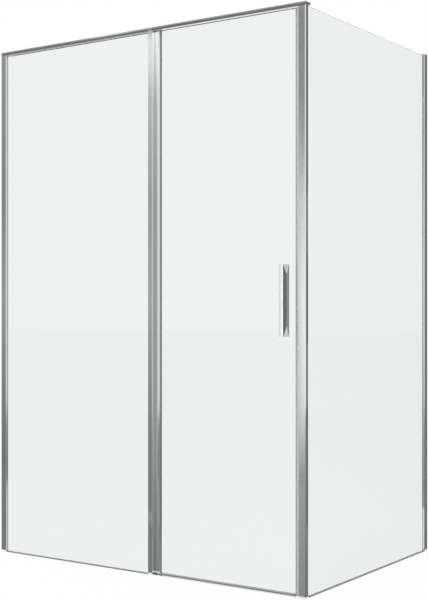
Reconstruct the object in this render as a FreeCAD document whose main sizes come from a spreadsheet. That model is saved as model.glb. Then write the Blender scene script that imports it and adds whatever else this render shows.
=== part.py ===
import FreeCAD, Part
import os
import re
import Sketcher

# Corner shower enclosure: a front with a fixed pane and a sliding door behind it, and a fixed side pane.
#
# Positions are written as u, v, z: u runs along the front from the left wall, v runs into the room from
# the outer front plane, z is the height above the floor. The document's own frame has its origin under the
# middle of the bounding box, X along u and Y along v. All sizes are in millimetres.

V = FreeCAD.Vector
doc = FreeCAD.newDocument("ShowerEnclosure")
dims = doc.addObject("Spreadsheet::Sheet", "Dims")

SIZES = (
    ("front_width", 1300, "front, from the left wall to the outer corner plane"),
    ("side_depth", 906, "side, from the outer front plane to the back wall, nominally 900"),
    ("full_height", 1850, "floor to the top of the header"),
    ("skin", 1.5, "wall of the aluminium sections"),
    ("glass_thick", 6, "toughened panes"),
    ("ground_edge", 0.7, "ground edges of the panes"),
    ("gasket_thick", 1, "glazing gasket beside a pane"),
    ("gasket_bead", 0.6, "part of a gasket seen beside its section"),
    ("door_bead", 3, "wider gasket bead beside the door's upright"),
    ("wall_bead", 4, "wider gasket bead beside the left wall section"),
    ("side_bead", 0.6, "gasket bead beside the side's wall section"),
    ("recess", 6, "outer face of the fixed panes behind the outer plane"),
    ("bite", 10, "depth of a glazing slot"),
    ("edge_room", 1, "air between a pane's edge and the slot's floor"),
    ("chamber_inset", 2.5, "hollow chamber inside a rounded corner"),
    ("edge_round", 1.2, "outer corners of the fixed pane's free upright"),
    ("frame_round", 1.8, "outer corner of a wall-side section"),
    ("tongue_in", 3.5, "tongue and lip seal inside the fixed upright's edges"),
    ("wall_gap", 1, "wall-side section held off the wall"),
    ("frame_face", 25, "wall to the inner edge of the wall-side section"),
    ("lip_short", 6, "rear lip of that section ends behind its front edge"),
    ("frame_lip", 2, "thickness of that rear lip"),
    ("wall_web", 2, "back of the U-channel on the wall"),
    ("channel_reach", 9.5, "flanges of the U-channel on the wall"),
    ("slide_gap", 0.5, "play between the two wall sections"),
    ("port_width", 5, "screw port of the wall-side section"),
    ("wall_hole", 2.75, "radius of a wall fixing hole"),
    ("wall_hole_low", 125, "lowest wall fixing hole"),
    ("wall_hole_step", 530, "spacing of the wall fixing holes"),
    ("frame_screw_low", 300, "lowest screw joining the two wall sections"),
    ("frame_screw_step", 600, "spacing of those screws"),
    ("frame_screw_in", 6.5, "those screws from the wall"),
    ("stile_left", 686.5, "fixed pane's free upright, left side"),
    ("stile_face", 18.5, "fixed pane's free upright, width"),
    ("lap_gap", 1, "between the fixed upright and the door's"),
    ("door_left", 699, "door's trailing upright, left side"),
    ("door_face", 26.5, "door's trailing upright, width"),
    ("door_round", 1.6, "front corners of that upright"),
    ("door_leaf", 3, "door upright in front of its slot"),
    ("groove_from", 17, "V groove in the door's upright, near edge"),
    ("groove_wide", 7, "width of that groove"),
    ("groove_deep", 2, "depth of that groove"),
    ("door_edge", 1258.5, "leading edge of the door's pane"),
    ("door_foot", 5, "lower end of the door's pane and upright"),
    ("door_play", 1, "door's upright below the header"),
    ("hang_rise", 3.5, "door's pane reaches into the header"),
    ("drip_low", 3, "bottom seal, lower face"),
    ("drip_high", 6, "bottom seal, upper edge"),
    ("drip_wall", 2.2, "bottom seal, cheek beside the pane"),
    ("nose_reach", 13.7, "magnet seal beyond the pane's edge"),
    ("lip_reach", 3.8, "magnet seal over the pane"),
    ("magnet_wide", 4, "magnet along u"),
    ("magnet_deep", 5, "magnet along v"),
    ("post_face", 24, "corner post, width of its front"),
    ("post_side", 17.8, "corner post, width of its side"),
    ("post_reach", 27.5, "corner post, depth behind the door's edge"),
    ("post_leaf", 5, "corner post outside the side pane"),
    ("post_slot", 9, "corner post, depth of its glazing slot"),
    ("post_round", 0.5, "outer corner of the post"),
    ("post_slope", 0.8, "slant beside that corner, across"),
    ("post_slant", 4.5, "length of that slant along the side"),
    ("strip_thick", 3.4, "magnet strip on the post"),
    ("strip_wide", 8, "magnet strip along v"),
    ("foot_wide", 3, "foot of that strip in its groove"),
    ("foot_deep", 1, "depth of that groove"),
    ("header_drop", 11.5, "height of the header"),
    ("header_back", 32, "depth of the header"),
    ("nose_drop", 5.5, "header's front nose, height"),
    ("nose_step", 2.5, "header's lower lip behind the nose"),
    ("nose_round", 0.6, "edges of the nose"),
    ("face_strip", 0.9, "dark strip on the lip below the nose, thickness"),
    ("pane_slot", 8, "header's glazing slot, height"),
    ("slot_half", 4.5, "half the width of the hanger slot"),
    ("ledge_thick", 1.5, "roller ledges"),
    ("roof_thick", 1.5, "header's roof over the rollers"),
    ("cap_thick", 1.5, "end plates"),
    ("side_lower", 8.8, "side pane's top below the header's top"),
    ("side_frame_lower", 5, "top of the wall section on the side"),
    ("pane_low", 2.5, "fixed panes above the floor"),
    ("sill_high", 3.2, "bottom channel of the fixed panes"),
    ("sill_wall", 1.5, "inner cheek of that channel"),
    ("sill_front", 4.5, "outer cheek of that channel"),
    ("tread_high", 2.5, "threshold, height of its tread"),
    ("tread_front", 0.5, "threshold behind the outer plane"),
    ("tread_edge", 1.8, "threshold, height of its front edge"),
    ("tread_slope", 4.5, "threshold, depth of its front slope"),
    ("bar_high", 5, "threshold's water bar"),
    ("guide_long", 15, "floor guide along u"),
    ("guide_base", 2.2, "floor guide, height of its base"),
    ("guide_high", 7, "floor guide, height of its finger"),
    ("guide_play", 0.4, "play between the finger and the door"),
    ("guide_finger", 2, "thickness of the finger"),
    ("roller_radius", 3.75, "door rollers"),
    ("roller_wide", 2.9, "width of a roller"),
    ("roller_lift", 0.25, "roller above its ledge"),
    ("roller_play", 0.05, "roller's bore around its axle"),
    ("roller_side", 0.4, "roller beside the carriage"),
    ("axle_radius", 1, "roller axles"),
    ("carriage_long", 44, "carriage along u"),
    ("carriage_left", 760, "middle of the left carriage"),
    ("carriage_right", 1215, "middle of the right carriage"),
    ("carriage_play", 0.3, "carriage in the hanger slot"),
    ("carriage_high", 8.5, "height of a carriage"),
    ("carriage_lift", 0.5, "carriage above the header's underside"),
    ("travel", 495, "how far the door slides"),
    ("buffer_long", 12, "rubber stop along u"),
    ("buffer_gap", 0.5, "rubber stop clear of the carriage"),
    ("handle_low", 810.7, "lower end of the handle"),
    ("handle_high", 227, "length of the handle"),
    ("handle_left", 1214.9, "left side of the handle"),
    ("handle_face", 15.5, "width of the handle's front"),
    ("handle_out", 16.5, "handle in front of the outer plane"),
    ("hip_high", 2.2, "rise of the handle's faceted flanks"),
    ("hip_run", 33, "sloped end of a flank"),
    ("pad_thick", 0.5, "pads between the handles and the pane"),
    ("grip_wide", 9, "inner pull, width"),
    ("grip_left", 1215.5, "inner pull, left side"),
    ("grip_deep", 5, "inner pull, depth"),
    ("handle_screw_in", 38, "handle screws from the handle's ends"),
    ("pane_hole", 4, "radius of the pane's handle holes"),
    ("bolt_radius", 2.4, "handle screw"),
    ("bolt_head", 3.6, "radius of its head"),
    ("bolt_head_high", 2.8, "height of its head"),
    ("bolt_depth", 12, "screw inside the outer handle"),
    ("screw_radius", 1.6, "self-tapping screws"),
    ("screw_head", 3.4, "radius of their heads"),
    ("screw_head_high", 2, "height of their heads"),
    ("sink_deep", 0.8, "flush heads of the header screws"),
    ("screw_long", 18, "depth of the header screws' ports"),
    ("frame_screw_long", 6, "wall section screws"),
    ("cover_radius", 5.5, "cover caps on the wall section screws"),
    ("cover_high", 3.2, "height of a cover cap"),
)
for row, (alias, value, note) in enumerate(SIZES, start=1):
    dims.set("A%d" % row, note)
    dims.set("B%d" % row, str(value))
    dims.setAlias("B%d" % row, alias)
doc.recompute()

# Lengths that follow from the driving sizes.
FRAME_DEPTH = "(recess + glass_thick + gasket_thick + frame_lip)"
SLOT_OUT = "(recess - gasket_thick)"
SLOT_IN = "(recess + glass_thick + gasket_thick)"
STILE_DEPTH = "(recess + glass_thick + gasket_thick + skin)"
STILE_RIGHT = "(stile_left + stile_face)"
DOOR_FRONT = "(recess + glass_thick + gasket_thick + skin + lap_gap)"
DOOR_PANE = "(%s + door_leaf + gasket_thick)" % DOOR_FRONT
DOOR_MID = "(%s + glass_thick/2)" % DOOR_PANE
DOOR_REAR = "(%s + glass_thick + gasket_thick + skin)" % DOOR_PANE
DOOR_RIGHT = "(door_left + door_face)"
NOSE_END = "(door_edge + nose_reach)"
POST_LEFT = "(front_width - post_face)"
HEAD_LOW = "(full_height - header_drop)"
LEDGE_TOP = "(full_height - header_drop + ledge_thick)"
HEAD_ROOF = "(full_height - roof_thick)"
CHAMBER_FRONT = "(%s + skin)" % SLOT_IN
CHAMBER_BACK = "(header_back - skin)"
PANE_HEAD = "(%s + hang_rise)" % HEAD_LOW
AXLE_HIGH = "(%s + roller_radius + roller_lift)" % LEDGE_TOP
SIDE_IN = "(front_width - recess - glass_thick)"
SIDE_OUT = "(front_width - recess)"
GRIP_MID = "(grip_left + grip_wide/2)"
HANDLE_BACK = "(%s - pad_thick)" % DOOR_PANE
INNER_BACK = "(%s + glass_thick)" % DOOR_PANE
SIDE_FRAME_TOP = "(full_height - side_frame_lower - cap_thick)"

PARTS = []


def bound(text):
    """An expression for the document: every size's name points to the sheet."""
    return re.sub(r"[a-z_]{2,}", lambda word: "Dims." + word.group(0), text)


def number(text):
    """The present value of such an expression."""
    value = dims.evalExpression(bound(text))
    return float(getattr(value, "Value", value))


def place(piece, u="0", v="0", z="0"):
    """Puts a piece at u, v, z in the document's frame."""
    piece.setExpression("Placement.Base.x", bound("%s - front_width/2" % u))
    piece.setExpression("Placement.Base.y", bound("%s - (side_depth - handle_out)/2" % v))
    piece.setExpression("Placement.Base.z", bound(z))


def new_body(label):
    body = doc.addObject("PartDesign::Body", "Body_" + label)
    body.Label = label
    PARTS.append(body)
    return body


def hold(sketch, kind, line, text, value):
    """Fixes a corner's distance from the sketch's origin along one axis."""
    if abs(value) < 1e-9:
        axis = -2 if kind == "DistanceX" else -1
        sketch.addConstraint(Sketcher.Constraint("PointOnObject", line, 1, axis))
        return
    index = sketch.addConstraint(Sketcher.Constraint(kind, -1, 1, line, 1, value))
    sketch.setExpression("Constraints[%d]" % index, bound(text))


def outline(body, name, loops, role="XY_Plane"):
    """A sketch of closed straight-sided loops; each corner is a pair of expressions."""
    sketch = body.newObject("Sketcher::SketchObject", name)
    plane = [item for item in body.Origin.OriginFeatures if item.Role == role][0]
    sketch.AttachmentSupport = [(plane, "")]
    sketch.MapMode = "FlatFace"
    for corners in loops:
        first = sketch.GeometryCount
        spots = [(number(a), number(b)) for a, b in corners]
        count = len(spots)
        for k in range(count):
            start = V(spots[k][0], spots[k][1], 0)
            after = V(spots[(k + 1) % count][0], spots[(k + 1) % count][1], 0)
            sketch.addGeometry(Part.LineSegment(start, after), False)
        for k in range(count):
            sketch.addConstraint(Sketcher.Constraint("Coincident", first + k, 2, first + (k + 1) % count, 1))
        for k, (a, b) in enumerate(corners):
            hold(sketch, "DistanceX", first + k, a, spots[k][0])
            hold(sketch, "DistanceY", first + k, b, spots[k][1])
    return sketch


def extrude(label, loops, length, role="XY_Plane", u="0", v="0", z="0"):
    """A section drawn on one of the body's planes and padded."""
    body = new_body(label)
    sketch = outline(body, "Section_" + label, loops, role)
    pad = body.newObject("PartDesign::Pad", "Pad_" + label)
    pad.Profile = sketch
    pad.setExpression("Length", bound(length))
    pad.Reversed = role == "XZ_Plane"
    place(body, u, v, z)
    doc.recompute()
    return body


def block(body, kind, name, low, size):
    """A box added to a body or taken from it."""
    box = body.newObject("PartDesign::%sBox" % kind, name)
    for axis, text in zip("xyz", low):
        box.setExpression("Placement.Base." + axis, bound(text))
    for side, text in zip(("Length", "Width", "Height"), size):
        box.setExpression(side, bound(text))
    doc.recompute()
    return box


def drill(body, name, spot, radius, depth, turn):
    """A round hole from a spot along the direction that turn gives the cylinder's own axis."""
    hole = body.newObject("PartDesign::SubtractiveCylinder", name)
    hole.Placement = FreeCAD.Placement(V(0, 0, 0), turn)
    for axis, text in zip("xyz", spot):
        hole.setExpression("Placement.Base." + axis, bound(text))
    hole.setExpression("Radius", bound(radius))
    hole.setExpression("Height", bound(depth))
    doc.recompute()
    return hole


def repeat_up(body, hole, step, count):
    """Repeats a hole upwards."""
    row = body.newObject("PartDesign::LinearPattern", hole.Name + "_row")
    row.Originals = [hole]
    upright = [item for item in body.Origin.OriginFeatures if item.Role == "Z_Axis"][0]
    row.Direction = (upright, [""])
    row.Mode = "Spacing"
    row.setExpression("Offset", bound(step))
    row.Occurrences = count
    body.Tip = row
    doc.recompute()
    return row


def round_edges(body, name, axis, spots, radius):
    """Rounds the long straight edges that pass through the given points of a section."""
    solid = body.Tip
    wanted = [(number(a), number(b)) for a, b in spots]
    flat = {"z": ("x", "y"), "x": ("y", "z")}[axis]
    names = []
    for index, edge in enumerate(solid.Shape.Edges, start=1):
        ends = [vertex.Point for vertex in edge.Vertexes]
        if len(ends) != 2 or abs(getattr(ends[0], axis) - getattr(ends[1], axis)) < 1:
            continue
        for a, b in wanted:
            if all(abs(getattr(p, flat[0]) - a) + abs(getattr(p, flat[1]) - b) < 0.01 for p in ends):
                names.append("Edge%d" % index)
    fillet = body.newObject("PartDesign::Fillet", name)
    fillet.Base = (solid, names)
    fillet.setExpression("Radius", bound(radius))
    doc.recompute()
    return fillet


def pane_block(label, low, size):
    """A glass pane whose vertical and top edges are ground to a small chamfer."""
    body = new_body(label)
    block(body, "Additive", "Sheet_" + label, ("0", "0", "0"), size)
    place(body, *low)
    solid = body.Tip
    box = solid.Shape.BoundBox
    thin = "x" if box.XLength < box.YLength else "y"
    names = []
    for index, edge in enumerate(solid.Shape.Edges, start=1):
        ends = [vertex.Point for vertex in edge.Vertexes]
        across = abs(getattr(ends[0], thin) - getattr(ends[1], thin)) > 0.1
        if not across and max(point.z for point in ends) > box.ZMax - 0.1:
            names.append("Edge%d" % index)
    chamfer = body.newObject("PartDesign::Chamfer", "Ground_" + label)
    chamfer.Base = (solid, names)
    chamfer.setExpression("Size", bound("ground_edge"))
    doc.recompute()
    return body


def bar(label, low, size):
    """A plain rectangular piece."""
    box = doc.addObject("Part::Box", "Box_" + label)
    box.Label = label
    for side, text in zip(("Length", "Width", "Height"), size):
        box.setExpression(side, bound(text))
    place(box, *low)
    PARTS.append(box)
    return box


def rod(name, spot, radius, length, turn):
    """A cylinder from a spot along the direction that turn gives its axis."""
    piece = doc.addObject("Part::Cylinder", name)
    piece.Placement = FreeCAD.Placement(V(0, 0, 0), turn)
    piece.setExpression("Radius", bound(radius))
    piece.setExpression("Height", bound(length))
    place(piece, *spot)
    return piece


def joined(kind, name, pieces):
    """A boolean or a group of pieces."""
    result = doc.addObject("Part::" + kind, name)
    if kind == "Cut":
        result.Base, result.Tool = pieces
    elif kind == "Compound":
        result.Links = pieces
    else:
        result.Shapes = pieces
    return result


def named(piece, label):
    piece.Label = label
    PARTS.append(piece)
    return piece


DOWN = FreeCAD.Rotation(V(1, 0, 0), 180)
ALONG_U = FreeCAD.Rotation(V(0, 1, 0), 90)
AGAINST_U = FreeCAD.Rotation(V(0, 1, 0), -90)
ALONG_V = FreeCAD.Rotation(V(1, 0, 0), -90)
AGAINST_V = FreeCAD.Rotation(V(1, 0, 0), 90)


def on_front(p, q):
    """p from the wall and q from the outer plane, for the front's wall sections."""
    return (p, q)


def on_side(p, q):
    """The same pair for the side's wall sections, which stand on the back wall."""
    return ("front_width - %s" % q, "side_depth - %s" % p)


# Wall sections: a U-channel screwed to the wall, and the visible section that slides over it.
def wall_channel(label, spot, high, drill_spot, drill_turn, screw_spot, screw_turn):
    low = "(skin + slide_gap)"
    top = "(%s - skin - slide_gap)" % FRAME_DEPTH
    loop = [
        spot("0", low),
        spot("channel_reach", low),
        spot("channel_reach", "(%s + skin)" % low),
        spot("wall_web", "(%s + skin)" % low),
        spot("wall_web", "(%s - skin)" % top),
        spot("channel_reach", "(%s - skin)" % top),
        spot("channel_reach", top),
        spot("0", top),
    ]
    body = extrude(label, [loop], high)
    wall = drill(body, "Wall_hole_" + label, drill_spot, "wall_hole", "2*wall_web", drill_turn)
    repeat_up(body, wall, "wall_hole_step", 4)
    screw = drill(body, "Pilot_" + label, screw_spot, "screw_radius", "3*skin", screw_turn)
    repeat_up(body, screw, "frame_screw_step", 3)
    return body


def frame_section(label, spot, high, screw_spot, screw_turn):
    slot = "(frame_face - bite)"
    web = "(frame_face - bite - skin)"
    port = "(frame_face - bite - port_width)"
    near = "(frame_face - chamber_inset)"
    lip = "(frame_face - lip_short)"
    outer = [
        spot("wall_gap", "0"),
        spot("frame_face", "0"),
        spot("frame_face", SLOT_OUT),
        spot(slot, SLOT_OUT),
        spot(slot, SLOT_IN),
        spot(lip, SLOT_IN),
        spot(lip, FRAME_DEPTH),
        spot("wall_gap", FRAME_DEPTH),
        spot("wall_gap", "(%s - skin)" % FRAME_DEPTH),
        spot(web, "(%s - skin)" % FRAME_DEPTH),
        spot(web, "(recess + glass_thick)"),
        spot(port, "(recess + glass_thick)"),
        spot(port, "recess"),
        spot(web, "recess"),
        spot(web, "skin"),
        spot("wall_gap", "skin"),
    ]
    front = [
        spot(slot, "skin"),
        spot(near, "skin"),
        spot(near, "(%s - skin)" % SLOT_OUT),
        spot(slot, "(%s - skin)" % SLOT_OUT),
    ]
    body = extrude(label, [outer, front], high)
    round_edges(body, "Round_" + label, "z", [spot("frame_face", "0")], "frame_round")
    screw = drill(body, "Screw_hole_" + label, screw_spot, "screw_radius", "2*skin", screw_turn)
    repeat_up(body, screw, "frame_screw_step", 3)
    return body


MID_DEPTH = "(%s/2)" % FRAME_DEPTH
wall_channel(
    "wall_profile_left", on_front, HEAD_LOW,
    ("0 - skin", MID_DEPTH, "wall_hole_low"), ALONG_U,
    ("frame_screw_in", FRAME_DEPTH, "frame_screw_low"), AGAINST_V,
)
frame_left = frame_section(
    "frame_profile_left", on_front, HEAD_LOW,
    ("frame_screw_in", FRAME_DEPTH, "frame_screw_low"), AGAINST_V,
)
wall_channel(
    "wall_profile_right", on_side, SIDE_FRAME_TOP,
    ("front_width - %s" % MID_DEPTH, "side_depth + skin", "wall_hole_low"), AGAINST_V,
    ("front_width - %s" % FRAME_DEPTH, "side_depth - frame_screw_in", "frame_screw_low"), ALONG_U,
)
frame_section(
    "frame_profile_right", on_side, SIDE_FRAME_TOP,
    ("front_width - %s" % FRAME_DEPTH, "side_depth - frame_screw_in", "frame_screw_low"), ALONG_U,
)
loop = [
    on_side("wall_gap", "0"),
    on_side("frame_face", "0"),
    on_side("frame_face", SLOT_IN),
    on_side("(frame_face - lip_short)", SLOT_IN),
    on_side("(frame_face - lip_short)", FRAME_DEPTH),
    on_side("wall_gap", FRAME_DEPTH),
]
extrude("frame_cap_right", [loop], "cap_thick", z=SIDE_FRAME_TOP)

# Screws that join the two wall sections from inside the shower, and their cover caps.
for label, cover, spot, turn, back in (
    ("frame_screws_left", "screw_covers_left", ("frame_screw_in", FRAME_DEPTH), AGAINST_V, ALONG_V),
    ("frame_screws_right", "screw_covers_right",
     ("front_width - %s" % FRAME_DEPTH, "side_depth - frame_screw_in"), ALONG_U, AGAINST_U),
):
    screws = []
    covers = []
    for k in range(3):
        high = "frame_screw_low + %d*frame_screw_step" % k
        centre = (spot[0], spot[1], high)
        tag = "%s_%d" % (label, k)
        shank = rod("Shank_" + tag, centre, "screw_radius", "frame_screw_long", turn)
        head = rod("Head_" + tag, centre, "screw_head", "screw_head_high", back)
        screws.append(joined("MultiFuse", "Screw_" + tag, [shank, head]))
        shell = rod("Shell_" + tag, centre, "cover_radius", "cover_high", back)
        space = rod("Space_" + tag, centre, "screw_head", "screw_head_high", back)
        covers.append(joined("Cut", "Cover_" + tag, [shell, space]))
    named(joined("Compound", "Group_" + label, screws), label)
    named(joined("Compound", "Group_" + cover, covers), cover)

# Fixed front pane with its free upright.
outer = [
    ("stile_left", "0"),
    (STILE_RIGHT, "0"),
    (STILE_RIGHT, STILE_DEPTH),
    ("stile_left", STILE_DEPTH),
    ("stile_left", SLOT_IN),
    ("stile_left + bite", SLOT_IN),
    ("stile_left + bite", SLOT_OUT),
    ("stile_left", SLOT_OUT),
]
inner = [
    ("stile_left + chamber_inset", "skin"),
    ("%s - chamber_inset" % STILE_RIGHT, "skin"),
    ("%s - chamber_inset" % STILE_RIGHT, SLOT_IN),
    ("stile_left + bite + skin", SLOT_IN),
    ("stile_left + bite + skin", "%s - skin" % SLOT_OUT),
    ("stile_left + chamber_inset", "%s - skin" % SLOT_OUT),
]
stile = extrude("fixed_stile", [outer, inner], HEAD_LOW)
block(
    stile, "Additive", "Stile_tongue",
    ("stile_left + tongue_in", "0", HEAD_LOW),
    ("stile_face - 2*tongue_in", "skin", "header_drop - nose_drop - slide_gap/2"),
)
round_edges(stile, "Round_fixed_stile", "z", [("stile_left", "0"), (STILE_RIGHT, "0")], "edge_round")
pane_block(
    "fixed_glass",
    ("frame_face - bite + edge_room", "recess", "pane_low"),
    (
        "stile_left + bite - edge_room - (frame_face - bite + edge_room)",
        "glass_thick",
        "%s + pane_slot - slide_gap - pane_low" % HEAD_LOW,
    ),
)
bar(
    "stile_lip_seal",
    ("stile_left + tongue_in", STILE_DEPTH, "drip_high"),
    ("stile_face - 2*tongue_in", "lap_gap*0.7", "%s - 2*drip_high" % HEAD_LOW),
)
for label, u, v, wide in (
    ("gasket_frame_left_outer", "frame_face - bite + edge_room", SLOT_OUT, "wall_bead"),
    ("gasket_frame_left_inner", "frame_face - bite + edge_room", "recess + glass_thick", "gasket_bead - lip_short"),
    ("gasket_stile_outer", "stile_left - gasket_bead", SLOT_OUT, "gasket_bead"),
    ("gasket_stile_inner", "stile_left - gasket_bead", "recess + glass_thick", "gasket_bead"),
):
    bar(label, (u, v, "0"), ("bite - edge_room + %s" % wide, "gasket_thick", HEAD_LOW))

# The header's glazing slot lines its pane with a U-shaped gasket; over the door a clip-in strip closes it.
PANE_TOP = "(%s + pane_slot - slide_gap)" % HEAD_LOW
loop = [
    (SLOT_OUT, HEAD_LOW),
    ("recess", HEAD_LOW),
    ("recess", PANE_TOP),
    ("recess + glass_thick", PANE_TOP),
    ("recess + glass_thick", HEAD_LOW),
    (SLOT_IN, HEAD_LOW),
    (SLOT_IN, "%s + pane_slot" % HEAD_LOW),
    (SLOT_OUT, "%s + pane_slot" % HEAD_LOW),
]
extrude(
    "header_gasket", [loop],
    "stile_left + bite - edge_room - (frame_face - bite + edge_room)",
    "YZ_Plane", u="frame_face - bite + edge_room",
)
loop = [
    (SLOT_OUT, HEAD_LOW),
    (SLOT_IN, HEAD_LOW),
    (SLOT_IN, "%s + pane_slot/2" % HEAD_LOW),
    ("recess + glass_thick", "%s + pane_slot/2" % HEAD_LOW),
    ("recess + glass_thick", "%s + skin" % HEAD_LOW),
    ("recess", "%s + skin" % HEAD_LOW),
    ("recess", "%s + pane_slot/2" % HEAD_LOW),
    (SLOT_OUT, "%s + pane_slot/2" % HEAD_LOW),
]
extrude(
    "header_infill", [loop], "%s - (stile_left + bite + edge_room)" % POST_LEFT,
    "YZ_Plane", u="stile_left + bite + edge_room",
)

# Header: nose, glazing slot and the roller chamber with two ledges beside the hanger slot.
NOSE_LOW = "(full_height - nose_drop)"
CAP_LOW = "(%s + pane_slot/2 - slide_gap)" % HEAD_LOW
loop = [
    ("nose_step", HEAD_LOW),
    (SLOT_OUT, HEAD_LOW),
    (SLOT_OUT, "%s + pane_slot" % HEAD_LOW),
    (SLOT_IN, "%s + pane_slot" % HEAD_LOW),
    (SLOT_IN, HEAD_LOW),
    ("%s - slot_half" % DOOR_MID, HEAD_LOW),
    ("%s - slot_half" % DOOR_MID, LEDGE_TOP),
    (CHAMBER_FRONT, LEDGE_TOP),
    (CHAMBER_FRONT, HEAD_ROOF),
    (CHAMBER_BACK, HEAD_ROOF),
    (CHAMBER_BACK, LEDGE_TOP),
    ("%s + slot_half" % DOOR_MID, LEDGE_TOP),
    ("%s + slot_half" % DOOR_MID, HEAD_LOW),
    ("header_back", HEAD_LOW),
    ("header_back", "full_height"),
    ("0", "full_height"),
    ("0", NOSE_LOW),
    ("nose_step", NOSE_LOW),
]
header = extrude("header_rail", [loop], "front_width - cap_thick", "YZ_Plane")
round_edges(header, "Round_header", "x", [("0", "full_height"), ("0", NOSE_LOW)], "nose_round")
block(
    header, "Subtractive", "Side_pane_notch",
    ("%s - skin" % SIDE_IN, "post_side - post_slot - gasket_thick", "%s - skin" % HEAD_LOW),
    ("post_face", "header_back", "%s - %s + skin" % (CAP_LOW, HEAD_LOW)),
)
bar(
    "header_face_strip", ("0", "nose_step - face_strip", HEAD_LOW),
    ("front_width - cap_thick", "face_strip", "header_drop - nose_drop"),
)
LEFT_SCREW = ("frame_face - bite - port_width/2", "recess + glass_thick/2")
RIGHT_SCREW = ("%s + post_face/4 - slide_gap" % POST_LEFT, "%s - gasket_thick" % DOOR_FRONT)
for side, (a, b) in (("left", LEFT_SCREW), ("right", RIGHT_SCREW)):
    drill(header, "Header_hole_" + side, (a, b, "full_height"), "screw_radius", "2*header_drop", DOWN)
    drill(header, "Header_sink_" + side, (a, b, "full_height"), "screw_head", "sink_deep", DOWN)
drill(
    frame_left, "Header_port", (LEFT_SCREW[0], LEFT_SCREW[1], HEAD_LOW),
    "screw_radius", "screw_long", DOWN,
)

# Corner post: closed front corner, slot for the side pane, lug that carries the magnet strip.
STRIP_LOW = "(%s - strip_wide/2)" % DOOR_MID
STRIP_TOP = "(%s + strip_wide/2)" % DOOR_MID
FOOT_LOW = "(%s - foot_wide/2)" % DOOR_MID
FOOT_TOP = "(%s + foot_wide/2)" % DOOR_MID
LUG_RIGHT = "(%s - gasket_thick)" % SIDE_IN
SLOT_END = "(post_side - post_slot)"
outer = [
    (POST_LEFT, "0"),
    ("front_width - post_slope", "0"),
    ("front_width", "post_slant"),
    ("front_width", "post_side"),
    ("front_width - post_leaf", "post_side"),
    ("front_width - post_leaf", SLOT_END),
    (LUG_RIGHT, SLOT_END),
    (LUG_RIGHT, "post_reach"),
    (POST_LEFT, "post_reach"),
    (POST_LEFT, FOOT_TOP),
    ("%s + foot_deep" % POST_LEFT, FOOT_TOP),
    ("%s + foot_deep" % POST_LEFT, FOOT_LOW),
    (POST_LEFT, FOOT_LOW),
]
chamber_front = [
    ("%s + skin" % POST_LEFT, "skin"),
    ("front_width - post_leaf", "skin"),
    ("front_width - chamber_inset", "post_leaf - gasket_thick"),
    ("front_width - chamber_inset", "%s - skin" % SLOT_END),
    ("%s - skin" % LUG_RIGHT, "%s - skin" % SLOT_END),
    ("%s - skin" % LUG_RIGHT, "post_face/2"),
    ("%s + skin" % POST_LEFT, "post_face/2"),
]
chamber_back = [
    ("%s + chamber_inset" % POST_LEFT, "post_side + skin"),
    ("%s - skin" % LUG_RIGHT, "post_side + skin"),
    ("%s - skin" % LUG_RIGHT, "post_reach - skin"),
    ("%s + chamber_inset" % POST_LEFT, "post_reach - skin"),
]
post = extrude("corner_post", [outer, chamber_front, chamber_back], HEAD_LOW)
round_edges(post, "Round_post", "z", [("front_width - post_slope", "0")], "post_round")
drill(post, "Post_port", RIGHT_SCREW + (HEAD_LOW,), "screw_radius", "screw_long", DOWN)
loop = [
    ("%s - strip_thick" % POST_LEFT, STRIP_LOW),
    (POST_LEFT, STRIP_LOW),
    (POST_LEFT, FOOT_LOW),
    ("%s + foot_deep" % POST_LEFT, FOOT_LOW),
    ("%s + foot_deep" % POST_LEFT, FOOT_TOP),
    (POST_LEFT, FOOT_TOP),
    (POST_LEFT, STRIP_TOP),
    ("%s - strip_thick" % POST_LEFT, STRIP_TOP),
]
extrude("post_magnet_strip", [loop], "%s - drip_low" % HEAD_LOW, z="drip_low")

# End cap of the header at the corner, with a peg in the glazing slot.
loop = [
    ("0", NOSE_LOW),
    ("nose_step", NOSE_LOW),
    ("nose_step", HEAD_LOW),
    ("%s - gasket_thick" % SLOT_END, HEAD_LOW),
    ("%s - gasket_thick" % SLOT_END, CAP_LOW),
    ("header_back", CAP_LOW),
    ("header_back", "full_height"),
    ("0", "full_height"),
]
cap = extrude("header_end_cap", [loop], "cap_thick", "YZ_Plane", u="front_width - cap_thick")
block(
    cap, "Additive", "Cap_peg",
    ("0 - recess", "recess", "%s + slide_gap" % CAP_LOW),
    ("recess", "glass_thick", "pane_slot/2"),
)
round_edges(cap, "Round_cap", "x", [("0", "full_height"), ("0", NOSE_LOW)], "nose_round")
screws = []
for side, (a, b) in (("left", LEFT_SCREW), ("right", RIGHT_SCREW)):
    top = (a, b, "full_height")
    shank = rod("Header_shank_" + side, top, "screw_radius", "header_drop + screw_long/2", DOWN)
    head = rod("Header_head_" + side, top, "screw_head", "sink_deep", DOWN)
    screws.append(joined("MultiFuse", "Header_screw_" + side, [shank, head]))
named(joined("Compound", "Group_header_screws", screws), "header_screws")

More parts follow.
